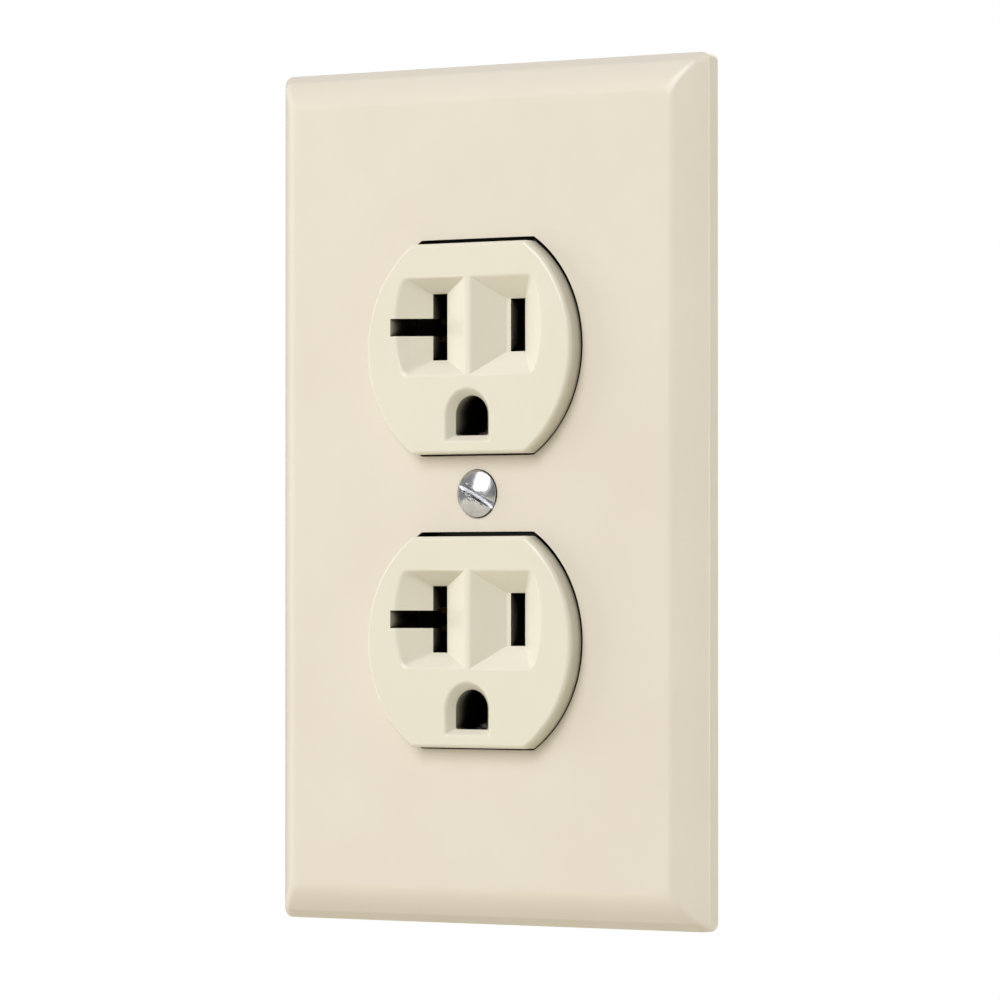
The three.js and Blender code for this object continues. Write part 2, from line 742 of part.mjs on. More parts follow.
// A headed screw on the Y axis: its head's top is at -headHeight and its tip at length.
function headedScrew({ shank, head, headHeight, length, slot = 1.1, sides = SMALL_ROUND }) {
  const made = turned([
    [0, -headHeight],
    [head * 0.8, -headHeight],
    [head, -headHeight * 0.6],
    [head, 0],
    [shank, 0],
    ...screwEnd(shank, length),
  ], sides);
  return made.subtract(slotAcross(head, slot, -headHeight, headHeight * 0.55));
}

const seat = TERMINAL.plate + GAP; // inner face of a tightened pressure plate
const headSeat = seat + TERMINAL.clampThick + GAP; // underside of a tightened terminal screw's head
const groundSeat = STRAP.end + STRAP.thick + GAP; // outer face of the ground tab
const groundHeadSeat = groundSeat + TERMINAL.clampThick + GAP;

const terminalScrew = () => headedScrew({ ...TERMINAL, length: headSeat - TERMINAL.tip });

// A square plate with a hole for its screw and two troughs that hold the wires. It faces +X.
function pressurePlate(hole) {
  const { clamp, clampThick, clampCorner, trough } = TERMINAL;
  const half = clamp / 2;
  const cut = half - clampCorner;
  const outline = [
    point(-half, -cut), point(-cut, -half), point(cut, -half), point(half, -cut),
    point(half, cut), point(cut, half), point(-cut, half), point(-half, cut),
  ];
  const troughs = [-1, 1].map((wire) =>
    alongY(circle(-trough.below, wire * trough.out, trough.radius, 12), -half - PAST, half + PAST));
  const screwHole = alongX(circle(0, 0, hole), -PAST, clampThick + PAST);
  return cutAll(alongX(outline, 0, clampThick), [screwHole, ...troughs]);
}

// Green hexagon washer-head screw.
function groundScrew() {
  const { shank, reach, flange, hex, headHeight } = GROUND_TERMINAL;
  const { flangeThick, slot, chamfer } = GROUND_TERMINAL;
  const washer = turned([
    [0, -flangeThick],
    [flange, -flangeThick],
    [flange, 0],
    [shank, 0],
    ...screwEnd(shank, reach + TIP.long),
  ]);
  const cap = turned([
    [0, -headHeight],
    [hex - chamfer, -headHeight],
    [hex, chamfer - headHeight],
    [hex, -flangeThick / 2],
    [0, -flangeThick / 2],
  ], 6);
  return washer.add(cap).subtract(slotAcross(flange, slot, -headHeight, slot));
}

function retainingWasher() {
  const { half, thick, corner } = WASHER;
  const hole = alongY(circle(0, 0, BOX_SCREW.shank + RUNNING), -PAST, thick + PAST);
  return alongY(roundedRectangle(half, half, corner, 2), 0, thick).subtract(hole);
}

const assemblySeat = BODY.back - ASSEMBLY.headHeight - ASSEMBLY.headRoom; // underside of their heads
const assemblyScrew = () => headedScrew({ ...ASSEMBLY, length: assemblySeat - ASSEMBLY.tip });

// ---------- the whole outlet ----------

const outwards = (side) => ({ z: (side * Math.PI) / 2 }); // turns a head to face away from the centre
const facingOut = (side) => ({ z: side > 0 ? 0 : Math.PI }); // turns a pressure plate to do the same

const outlet = new THREE.Group();
outlet.add(
  piece("wall_plate", wallPlate(), IVORY_PLATE),
  piece("plate_screw", plateScrew(), NICKEL, [0, plateFront - PLATE_SCREW.land, 0], {
    y: THREE.MathUtils.degToRad(PLATE_SCREW.turn),
  }),
  piece("outlet_face", deviceFace(), IVORY_FACE),
  piece("back_body", backBody(), BODY_PLASTIC),
  piece("mounting_strap", mountingStrap(), ZINC),
  piece("line_contact", lineContact(), BRASS),
  piece("neutral_contact", neutralContact(), BRASS),
);

for (const which of ["upper", "lower"]) {
  outlet.add(
    piece(`ground_contact_${which}`, groundContact(which), BRASS),
    piece(`ground_rivet_${which}`, groundRivet(), ZINC, [0, 0, groundZ(which) + RIVET.above]),
  );
}

for (const [pole, side, plating] of [["line", 1, BRASS], ["neutral", -1, NICKEL]]) {
  for (const [which, z] of [["upper", TERMINAL.z], ["lower", -TERMINAL.z]]) {
    const plate = pressurePlate(TERMINAL.shank + RUNNING);
    const place = (x) => [side * x, TERMINAL.y, z];
    outlet.add(
      piece(`${pole}_screw_${which}`, terminalScrew(), plating, place(headSeat), outwards(side)),
      piece(`${pole}_pressure_plate_${which}`, plate, plating, place(seat), facingOut(side)),
    );
  }
}

const groundPlate = pressurePlate(GROUND_TERMINAL.shank + RUNNING);
const groundPlace = (x) => [-x, GROUND_TERMINAL.y, GROUND_TERMINAL.z];
outlet.add(
  piece("ground_screw", groundScrew(), GREEN, groundPlace(groundHeadSeat), outwards(-1)),
  piece("ground_pressure_plate", groundPlate, ZINC, groundPlace(groundSeat), facingOut(-1)),
);

for (const [end, side] of [["top", 1], ["bottom", -1]]) {
  const z = (side * STRAP.screwPitch) / 2;
  outlet.add(
    piece(`box_screw_${end}`, headedScrew(BOX_SCREW), ZINC, [0, -STRAP.thick - GAP, z]),
    piece(`retaining_washer_${end}`, retainingWasher(), FIBRE, [0, GAP, z]),
  );
}

assemblyPoints.forEach(([x, z], i) =>
  outlet.add(piece(`assembly_screw_${i + 1}`, assemblyScrew(), ZINC, [x, assemblySeat, z], { x: Math.PI })));

export default outlet;
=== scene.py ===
"""Visual model of a duplex wall outlet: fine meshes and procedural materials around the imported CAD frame.

Everything is in metres in the CAD frame: +X right and +Z up as seen from the room, +Y into the wall.
"""
import json
import math
import random

import bmesh
import bpy
from mathutils import Matrix, Vector


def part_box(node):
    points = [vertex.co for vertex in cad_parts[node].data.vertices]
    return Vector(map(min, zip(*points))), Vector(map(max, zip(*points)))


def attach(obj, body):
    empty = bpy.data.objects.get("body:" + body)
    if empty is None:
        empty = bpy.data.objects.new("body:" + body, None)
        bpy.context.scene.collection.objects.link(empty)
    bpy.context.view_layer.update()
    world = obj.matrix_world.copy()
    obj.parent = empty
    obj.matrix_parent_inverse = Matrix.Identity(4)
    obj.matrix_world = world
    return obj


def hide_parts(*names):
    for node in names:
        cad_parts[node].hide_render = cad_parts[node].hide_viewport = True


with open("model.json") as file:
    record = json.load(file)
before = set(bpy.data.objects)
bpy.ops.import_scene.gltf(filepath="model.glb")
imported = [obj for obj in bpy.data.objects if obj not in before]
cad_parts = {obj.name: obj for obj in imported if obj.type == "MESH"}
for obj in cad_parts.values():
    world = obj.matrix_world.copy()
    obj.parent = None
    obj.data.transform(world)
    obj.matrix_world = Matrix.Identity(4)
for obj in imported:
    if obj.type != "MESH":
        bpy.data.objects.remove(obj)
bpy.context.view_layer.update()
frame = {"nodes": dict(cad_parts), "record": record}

nodes = frame["nodes"]
scene = bpy.context.scene

MM = 0.001

# ---------------------------------------------------------------- camera, lights and floor

CAMERA_AZIMUTH = 36.2
CAMERA_ELEVATION = -0.91
CAMERA_DISTANCE = 0.835
CAMERA_TARGET = Vector((-0.00023, 0.0, -0.00076))
CAMERA_LENS = 225.68
FLOOR_BELOW = 0.10  # from the plate's lower edge to the floor
FLOOR_HALF = 0.95
FLOOR_COLOUR = (0.70, 0.66, 0.54, 1)
DIMMED_FROM = 0.8  # cosine of the angle to the camera at which the world starts to dim
DIMMED_FULLY = 0.97


def direction(azimuth, elevation):
    """The way from the object to something at this azimuth (0 is in front) and elevation, in degrees."""
    turn = math.radians(azimuth)
    lift = math.radians(elevation)
    return Vector((math.sin(turn) * math.cos(lift), -math.cos(turn) * math.cos(lift), math.sin(lift)))


def aim(thing, place, target):
    """Puts a camera or light at a place with its view axis on the target and no roll."""
    thing.matrix_world = Matrix.LocRotScale(place, (place - target).to_track_quat("Z", "Y"), None)


def add_camera():
    data = bpy.data.cameras.new("camera")
    data.sensor_width = 36
    data.lens = CAMERA_LENS
    data.clip_start = 0.01
    data.clip_end = 20
    camera = bpy.data.objects.new("camera", data)
    scene.collection.objects.link(camera)
    way = direction(CAMERA_AZIMUTH, CAMERA_ELEVATION)
    aim(camera, CAMERA_TARGET + way * CAMERA_DISTANCE, CAMERA_TARGET)
    scene.camera = camera


def add_softbox(name, azimuth, elevation, distance, size, power, reflected=True):
    """An area light that faces the object. Its size is in metres and its power in watts."""
    data = bpy.data.lights.new(name, "AREA")
    data.shape = "RECTANGLE"
    data.size, data.size_y = size
    data.energy = power
    light = bpy.data.objects.new(name, data)
    scene.collection.objects.link(light)
    light.visible_glossy = reflected
    aim(light, direction(azimuth, elevation) * distance, Vector((0, 0, 0)))


def add_world(strength, dimmed):
    """White to the camera, and a weaker light on the object that is dimmed round the camera's direction."""
    world = bpy.data.worlds.new("studio")
    world.use_nodes = True
    tree = world.node_tree
    tree.nodes.clear()
    seen = tree.nodes.new("ShaderNodeBackground")
    seen.inputs["Color"].default_value = (1, 1, 1, 1)
    lighting = tree.nodes.new("ShaderNodeBackground")
    lighting.inputs["Color"].default_value = (1, 1, 1, 1)
    way = tree.nodes.new("ShaderNodeTexCoord")
    nearness = tree.nodes.new("ShaderNodeVectorMath")
    nearness.operation = "DOT_PRODUCT"
    nearness.inputs[1].default_value = direction(CAMERA_AZIMUTH, 0)
    level = tree.nodes.new("ShaderNodeMapRange")
    level.inputs["From Min"].default_value = DIMMED_FROM
    level.inputs["From Max"].default_value = DIMMED_FULLY
    level.inputs["To Min"].default_value = strength
    level.inputs["To Max"].default_value = dimmed
    tree.links.new(way.outputs["Generated"], nearness.inputs[0])
    tree.links.new(nearness.outputs["Value"], level.inputs["Value"])
    tree.links.new(level.outputs["Result"], lighting.inputs["Strength"])
    path = tree.nodes.new("ShaderNodeLightPath")
    mix = tree.nodes.new("ShaderNodeMixShader")
    output = tree.nodes.new("ShaderNodeOutputWorld")
    tree.links.new(path.outputs["Is Camera Ray"], mix.inputs["Fac"])
    tree.links.new(lighting.outputs["Background"], mix.inputs[1])
    tree.links.new(seen.outputs["Background"], mix.inputs[2])
    tree.links.new(mix.outputs["Shader"], output.inputs["Surface"])
    scene.world = world


def add_floor():
    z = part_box("wall_plate")[0].z - FLOOR_BELOW
    corners = [(-1, -1), (1, -1), (1, 1), (-1, 1)]
    mesh = bpy.data.meshes.new("floor")
    mesh.from_pydata([(x * FLOOR_HALF, y * FLOOR_HALF, z) for x, y in corners], [], [(0, 1, 2, 3)])
    floor = bpy.data.objects.new("floor", mesh)
    scene.collection.objects.link(floor)
    pale = bpy.data.materials.new("floor_pale")
    pale.use_nodes = True
    shader = pale.node_tree.nodes["Principled BSDF"]
    shader.inputs["Base Color"].default_value = FLOOR_COLOUR
    shader.inputs["Roughness"].default_value = 0.6
    mesh.materials.append(pale)


scene.view_settings.view_transform = "Standard"
add_camera()
add_world(strength=0.28, dimmed=0.17)
add_floor()
add_softbox("key", -12, 32, 1.4, (0.95, 1.15), 13.8)
add_softbox("glint", 3, 41, 1.0, (0.16, 0.16), 0.5)
add_softbox("left_fill", -72, 6, 0.9, (0.4, 0.8), 3.0, reflected=False)
add_softbox("side_fill", 104, 4, 0.8, (0.3, 0.7), 3.5)
add_softbox("back_fill", 190, 30, 1.0, (0.8, 0.8), 3.5)

# ---------------------------------------------------------------- materials


def linear(r, g, b):
    """A colour given as sRGB bytes, as the shader wants it."""
    def one(value):
        value /= 255
        return value / 12.92 if value <= 0.04045 else ((value + 0.055) / 1.055) ** 2.4
    return (one(r), one(g), one(b), 1.0)


MIX_FACTOR, MIX_A, MIX_B = 0, 6, 7  # a Mix node's inputs when it mixes colours
MIX_RESULT = 2


class Surface:
    """A procedural material that is built up node by node on one Principled shader."""

    def __init__(self, name, **constants):
        self.material = bpy.data.materials.new(name)
        self.material.use_nodes = True
        self.tree = self.material.node_tree
        self.shader = self.tree.nodes["Principled BSDF"]
        for socket, value in constants.items():
            self.shader.inputs[socket.replace("_", " ")].default_value = value
        self.place = self.tree.nodes.new("ShaderNodeTexCoord").outputs["Object"]

    def node(self, kind, inputs, **settings):
        """Adds a node. Each input is given another node's socket or a constant."""
        made = self.tree.nodes.new(kind)
        for key, value in settings.items():
            setattr(made, key, value)
        for socket, value in inputs.items():
            if isinstance(value, bpy.types.NodeSocket):
                self.tree.links.new(value, made.inputs[socket])
            else:
                made.inputs[socket].default_value = value
        return made

    def noise(self, scale, detail=3.0, rough=0.5, stretch=(1, 1, 1)):
        """Noise with about `scale` blotches to the metre, drawn out along an axis by a small stretch."""
        mapped = self.node("ShaderNodeMapping", {"Vector": self.place, "Scale": stretch})
        inputs = {"Vector": mapped.outputs["Vector"], "Scale": scale, "Detail": detail, "Roughness": rough}
        return self.node("ShaderNodeTexNoise", inputs).outputs["Fac"]

    def spread(self, value, low, high, start=0.3, end=0.7):
        """Maps a mask's start to end onto low to high."""
        inputs = {"Value": value, "From Min": start, "From Max": end, "To Min": low, "To Max": high}
        return self.node("ShaderNodeMapRange", inputs).outputs["Result"]

    def blend(self, mask, one, two):
        """One colour where the mask is 0 and the other where it is 1."""
        inputs = {MIX_FACTOR: mask, MIX_A: one, MIX_B: two}
        return self.node("ShaderNodeMix", inputs, data_type="RGBA").outputs[MIX_RESULT]

    def edges(self, width, low, high):
        """A mask of the edges, this wide in metres: how far a rounded normal leans from the true one."""
        rounded = self.node("ShaderNodeBevel", {"Radius": width}, samples=6).outputs["Normal"]
        flat = self.node("ShaderNodeNewGeometry", {}).outputs["Normal"]
        lean = self.node("ShaderNodeVectorMath", {0: rounded, 1: flat}, operation="DOT_PRODUCT")
        return self.spread(lean.outputs["Value"], 1.0, 0.0, 1 - high, 1 - low)

    def closed_in(self, reach, low, high):
        """A mask of closed-in places, used to paint shade there: 1 where less than low of the surroundings
        is open, 0 above high.
        """
        open_share = self.node("ShaderNodeAmbientOcclusion", {"Distance": reach}, samples=24).outputs["AO"]
        return self.spread(open_share, 1.0, 0.0, low, high)

    def multiply(self, one, two):
        return self.node("ShaderNodeMath", {0: one, 1: two}, operation="MULTIPLY").outputs[0]

    def bump(self, *layers):
        """Adds bump layers, each a height mask and its depth in metres."""
        normal = None
        for height, depth in layers:
            inputs = {"Height": height, "Distance": depth, "Strength": 1.0}
            if normal is not None:
                inputs["Normal"] = normal
            normal = self.node("ShaderNodeBump", inputs).outputs["Normal"]
        self.tree.links.new(normal, self.shader.inputs["Normal"])

    def link(self, value, socket):
        self.tree.links.new(value, self.shader.inputs[socket])


# Painted shade: near black, blended into the plastics where they are closed in, as deep in the slots and in
# the gaps beside the faces.
PAINTED_DEEP_SHADE = linear(14, 12, 10)
# Painted shade: grey, blended into the metals where they are closed in, as in screw slots.
PAINTED_CREVICE_SHADE = linear(158, 158, 161)


def moulded_plastic(name, colour, shade, edge, roughness, grain=0.8e-6, reach=0.005):
    """Moulded plastic: faint mottling, a fine satin texture, polished edges and painted shade, near black,
    in closed-in places.

    A place is closed in when most ways out of it are blocked within reach, in metres."""
    made = Surface(name, IOR=1.5)
    mottle = made.spread(made.noise(55, 2.0), 0.0, 1.0, 0.2, 0.8)
    base = made.blend(mottle, colour, shade)
    worn = made.multiply(made.edges(0.0004, 0.02, 0.25), made.spread(made.noise(300), 0.4, 1.0, 0.25, 0.75))
    base = made.blend(worn, base, edge)
    # painted shade: the plastic turns near black where it is closed in, as deep in slots and gaps
    painted_shade = made.closed_in(reach, 0.24, 0.62)
    made.link(made.blend(made.multiply(painted_shade, painted_shade), base, PAINTED_DEEP_SHADE), "Base Color")
    made.link(made.spread(made.noise(350, 2.0), roughness - 0.02, roughness + 0.03, 0.2, 0.8), "Roughness")
    made.bump((made.noise(900, 0.0), grain), (made.noise(160, 1.0), grain * 5))
    return made.material


def plated_metal(name, colour, dull, roughness, brush=(1, 1, 1), tarnish=0.35):
    """Plated or bare metal with drawn or tumbled scratches, dulled patches, bright worn edges and painted
    grey shade in closed-in places.
    """
    made = Surface(name, Metallic=1.0)
    patches = made.spread(made.noise(420, 4.0, 0.6), 0.0, tarnish, 0.42, 0.68)
    scratches = made.noise(2600, 4.0, 0.7, brush)
    base = made.blend(patches, colour, dull)
    base = made.blend(made.spread(scratches, 0.0, 0.25), base, dull)
    worn = made.multiply(made.edges(0.0003, 0.02, 0.2), made.spread(scratches, 0.3, 0.9))
    base = made.blend(worn, base, colour)
    # painted shade: the metal turns grey where it is closed in, as in screw slots
    made.link(made.blend(made.closed_in(0.0015, 0.3, 0.8), base, PAINTED_CREVICE_SHADE), "Base Color")
    rough = made.node("ShaderNodeMath", {0: made.spread(scratches, roughness - 0.06, roughness + 0.1),
                                         1: made.spread(patches, 0.0, 0.18, 0.0, 0.4)}, operation="ADD")
    made.link(rough.outputs[0], "Roughness")
    made.bump((scratches, 4.0e-6), (made.noise(900, 3.0), 6.0e-6))
    return made.material


def pressed_fibre(name):
    """Vulcanised fibre: matted brown strands and fuzzy cut edges."""
    made = Surface(name)
    strands = made.noise(3000, 4.0, 0.7, (1.0, 1.0, 0.25))
    cross = made.noise(3000, 4.0, 0.7, (0.25, 1.0, 1.0))
    base = made.blend(made.spread(strands, 0.0, 1.0), linear(150, 98, 60), linear(112, 68, 40))
    base = made.blend(made.spread(cross, 0.0, 0.5), base, linear(176, 124, 84))
    made.link(made.blend(made.edges(0.0004, 0.02, 0.3), base, linear(190, 146, 108)), "Base Color")
    made.link(made.spread(strands, 0.62, 0.85), "Roughness")
    made.bump((strands, 2.0e-5), (cross, 2.0e-5))
    return made.material


PLATE_IVORY = moulded_plastic(
    "plate_ivory",
    colour=linear(230, 222, 208),
    shade=linear(226, 217, 202),
    edge=linear(236, 228, 212),
    roughness=0.23,
)
FACE_IVORY = moulded_plastic(
    "face_ivory",
    colour=linear(232, 227, 211),
    shade=linear(228, 222, 204),
    edge=linear(237, 231, 212),
    roughness=0.2,
    reach=0.016,
)
BODY_GREY = moulded_plastic(
    "body_grey",
    colour=linear(58, 60, 64),
    shade=linear(46, 48, 52),
    edge=linear(92, 94, 98),
    roughness=0.5,
    grain=5.0e-6,
)
ZINC = plated_metal("zinc_steel", linear(205, 208, 212), linear(150, 154, 158), 0.3)
NICKEL = plated_metal("nickel", linear(226, 227, 232), linear(160, 161, 168), 0.16, tarnish=0.2)
BRASS = plated_metal("brass", linear(222, 180, 92), linear(150, 108, 50), 0.27)
GREEN = plated_metal("green_plated", linear(52, 140, 78), linear(24, 84, 44), 0.34)
FIBRE = pressed_fibre("fibre")

SLOT_MATERIALS = {
    "plate_ivory": PLATE_IVORY,
    "face_ivory": FACE_IVORY,
    "body_grey": BODY_GREY,
    "zinc_steel": ZINC,
    "nickel": NICKEL,
    "brass": BRASS,
    "green_plated": GREEN,
    "fibre": FIBRE,
}
slot_of = {part["node"]: part["material_slot"] for part in frame["record"]["subparts"]}
bodies = frame["record"]["behaviour"]["bodies"]
body_of = {node: body for body, members in bodies.items() for node in members}

# ---------------------------------------------------------------- meshes from rings and outlines
# An outline is a list of (a, b) points in millimetres, anticlockwise, and a ring is an outline at a depth.


def arc(a, b, radius, start, end, steps):
    """Points of an arc from start to end, in degrees."""
    turns = [math.radians(start + (end - start) * i / steps) for i in range(steps + 1)]
    return [(a + radius * math.cos(t), b + radius * math.sin(t)) for t in turns]


def circle(radius, steps, a=0.0, b=0.0):
    return arc(a, b, radius, 0, 360, steps)[:-1]


def rounded_rectangle(half_a, half_b, radius, steps=10):
    corners = [(1, 1), (-1, 1), (-1, -1), (1, -1)]
    points = []
    for i, (u, v) in enumerate(corners):
        start = 90 * i
        points += arc(u * (half_a - radius), v * (half_b - radius), radius, start, start + 90, steps)
    return points


def flattened_circle(z, radius, flat, corner, steps=72):
    """A circle cut off flat above and below, with its four corners rounded."""
    inner = radius - corner
    reach = math.degrees(math.asin((flat - corner) / inner))
    cx = inner * math.cos(math.radians(reach))
    cz = flat - corner
    points = arc(0, z, radius, -reach, reach, steps)
    points += arc(cx, z + cz, corner, reach, 90, 6)[1:]
    points += arc(-cx, z + cz, corner, 90, 180 - reach, 6)
    points += arc(0, z, radius, 180 - reach, 180 + reach, steps)[1:]
    points += arc(-cx, z - cz, corner, 180 + reach, 270, 6)[1:]
    points += arc(cx, z - cz, corner, 270, 360 - reach, 6)[:-1]
    return points


def arch(z, radius, sill, steps=40):
    """An arch standing on a flat sill, as a ground hole is."""
    corner = 0.25
    points = arc(0, z, radius, 0, 180, steps)
    points += arc(corner - radius, z - sill + corner, corner, 180, 270, 5)
    points += arc(radius - corner, z - sill + corner, corner, 270, 360, 5)
    return points


def loft(name, rings):
    """A closed solid through rings of equal length, each an outline in X and Z and its depth Y, in mm."""
    made = bmesh.new()
    layers = [[made.verts.new((a * MM, y * MM, b * MM)) for a, b in outline] for outline, y in rings]
    count = len(layers[0])
    for one, two in zip(layers, layers[1:]):
        for i in range(count):
            j = (i + 1) % count
            made.faces.new((one[i], one[j], two[j], two[i]))
    made.faces.new(layers[0])
    made.faces.new(layers[-1])
    return solid_object(name, made)


def solid_object(name, made):
    """Turns a finished bmesh into an object whose faces point outwards."""
    bmesh.ops.recalc_face_normals(made, faces=made.faces)
    mesh = bpy.data.meshes.new(name)
    made.to_mesh(mesh)
    made.free()
    item = bpy.data.objects.new(name, mesh)
    scene.collection.objects.link(item)
    return item


def prism(name, outline, y0, y1):
    return loft(name, [(outline, y0), (outline, y1)])


def block(name, x0, x1, y0, y1, z0, z1):
    return prism(name, [(x0, z0), (x1, z0), (x1, z1), (x0, z1)], y0, y1)


def turned(name, profile, steps=96):
    """A solid of revolution about Y from (radius, y) pairs in mm, closed with a point at each end."""
    made = bmesh.new()
    layers = [[made.verts.new((r * math.cos(t) * MM, y * MM, r * math.sin(t) * MM))
               for t in (2 * math.pi * i / steps for i in range(steps))] for r, y in profile]
    ends = [made.verts.new((0, profile[0][1] * MM, 0)), made.verts.new((0, profile[-1][1] * MM, 0))]
    for one, two in zip(layers, layers[1:]):
        for i in range(steps):
            j = (i + 1) % steps
            made.faces.new((one[i], one[j], two[j], two[i]))
    for layer, end in zip((layers[0], layers[-1]), ends):
        for i in range(steps):
            made.faces.new((layer[i], layer[(i + 1) % steps], end))
    return solid_object(name, made)


def combine(base, others, operation="DIFFERENCE"):
    """Cuts or joins solids, and deletes the ones used up."""
    for other in others:
        step = base.modifiers.new("step", "BOOLEAN")
        step.operation = operation
        step.solver = "EXACT"
        step.object = other
    apply_modifiers(base)
    for other in others:
        bpy.data.meshes.remove(other.data)


def apply_modifiers(item):
    graph = bpy.context.evaluated_depsgraph_get()
    final = bpy.data.meshes.new_from_object(item.evaluated_get(graph))
    old = item.data
    item.modifiers.clear()
    item.data = final
    bpy.data.meshes.remove(old)


def soften(item, width, segments, angle):
    """Rounds the edges that bend by more than an angle, this wide in mm, and shades the rest smooth."""
    bevel = item.modifiers.new("edge", "BEVEL")
    bevel.width = width * MM
    bevel.segments = segments
    bevel.limit_method = "ANGLE"
    bevel.angle_limit = math.radians(angle)
    bevel.use_clamp_overlap = True
    bevel.miter_outer = "MITER_ARC"
    bevel.harden_normals = False
    weighted = item.modifiers.new("normals", "WEIGHTED_NORMAL")
    weighted.weight = 50
    weighted.keep_sharp = True
    for polygon in item.data.polygons:
        polygon.use_smooth = True


def stand_for(item, node, width, segments, angle):
    """Makes a fine piece with softened edges replace a CAD node, on its body and in its material slot."""
    soften(item, width, segments, angle)
    item.data.materials.clear()
    item.data.materials.append(SLOT_MATERIALS[slot_of[node]])
    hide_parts(node)
    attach(item, body_of[node])


# ---------------------------------------------------------------- sizes, from the frame's own boxes


def box_mm(node):
    low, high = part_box(node)
    return low / MM, high / MM


plate_low, plate_high = box_mm("wall_plate")
face_low, face_high = box_mm("outlet_face")
PLATE_HALF_X = plate_high.x
PLATE_HALF_Z = plate_high.z
PLATE_FRONT = plate_low.y
FACE_FRONT = face_low.y
FACE_RADIUS = face_high.x
OUTLET_PITCH = 38.9
DEVICE_DROP = 0.2  # how far the faces sit below the middles of the plate's openings
outlet_centres = [side * OUTLET_PITCH / 2 for side in (1, -1)]

# ---------------------------------------------------------------- cover plate

PLATE = {
    "side": 2.05,  # height of the side wall
    "steep_inset": 1.075,  # where the steep outer band meets the rounded slope
    "steep_depth": 3.45,
    "slope_start": 45,  # angle between that slope's start and the front face, in degrees
    "slope_sides": 4.4,  # inset where the slope has run out into the flat front
    "slope_ends": 5.2,
    "corner": 1.2,
    "inner_corner": 0.9,
    "panel": 2.3,
    "rim": 1.6,
    "wall_in": 1.0,
    "hollow": 5.4,
    "rib": (21.2, 22.2),  # a long rib's two sides, from the centre line
    "rib_reach": 46,
    "rib_back": -0.9,
    "cross_rib": (21.9, 30.7),  # a short rib's two ends, from the centre line
    "cross_rib_half": 0.5,
    "cross_rib_back": -0.95,
    "cross_rib_heights": (-40, -14, 14, 40),
    "opening": 17.05,
    "opening_flat": 14.35,
    "opening_corner": 0.7,
    "sink": 4.18,  # the countersink's radius 1 mm in front of the plate
    "sink_throat": 2.0,
    "sink_depth": 1.39,
}
PLATE_INSIDE = PLATE_FRONT + PLATE["panel"]


def plate_ring(inset, y, end_inset=None):
    """The plate's outline moved in by an inset. Its two ends can be moved in further."""
    radius = max(PLATE["corner"] - inset, PLATE["inner_corner"])
    end_inset = inset if end_inset is None else end_inset
    return rounded_rectangle(PLATE_HALF_X - inset, PLATE_HALF_Z - end_inset, radius), y


def slope_rings(steps=18):
    """The rounded slope starts at the steep band and runs flat into the front."""
    start, end = PLATE["steep_inset"], PLATE["slope_sides"]
    drop = -PLATE_FRONT - PLATE["steep_depth"]
    lean = drop / math.tan(math.radians(PLATE["slope_start"]))
    stretch = (PLATE["slope_ends"] - start) / (end - start)
    rings = []
    for i in range(steps + 1):
        t = i / steps
        run = 2 * t * (1 - t) * lean + t * t * (end - start)
        depth = PLATE["steep_depth"] + drop * (2 * t - t * t)
        rings.append(plate_ring(start + run, -depth, start + run * stretch))
    return rings


def plate_ribs():
    """A long rib beside the openings on each side, and short ones from it to the side wall."""
    reach, half = PLATE["rib_reach"], PLATE["cross_rib_half"]
    front = PLATE_INSIDE - 1
    ribs = []
    for side in (1, -1):
        near, far = sorted(side * x for x in PLATE["rib"])
        ribs.append(block("rib", near, far, front, PLATE["rib_back"], -reach, reach))
        for z in PLATE["cross_rib_heights"]:
            near, far = sorted(side * x for x in PLATE["cross_rib"])
            ribs.append(block("rib", near, far, front, PLATE["cross_rib_back"], z - half, z + half))
    return ribs


def add_wall_plate():
    plate = loft("wall_plate_fine", [plate_ring(0, 0), plate_ring(0, -PLATE["side"])] + slope_rings())
    hollow = loft("hollow", [plate_ring(PLATE["rim"], 1), plate_ring(PLATE["rim"], -PLATE["wall_in"]),
                             plate_ring(PLATE["hollow"], PLATE_INSIDE)])
    combine(plate, [hollow])
    combine(plate, plate_ribs(), "UNION")
    cutters = []
    for z in outlet_centres:
        outline = flattened_circle(z, PLATE["opening"], PLATE["opening_flat"], PLATE["opening_corner"])
        cutters.append(prism("opening", outline, PLATE_FRONT - 1, PLATE_INSIDE + 1))
    throat = PLATE["sink_throat"]
    sink = [(PLATE["sink"], PLATE_FRONT - 1), (throat, PLATE_FRONT + PLATE["sink_depth"])]
    cutters.append(turned("countersink", sink + [(throat, PLATE_INSIDE + 1)]))
    combine(plate, cutters)
    stand_for(plate, "wall_plate", 0.12, 3, 11)


# ---------------------------------------------------------------- outlet faces

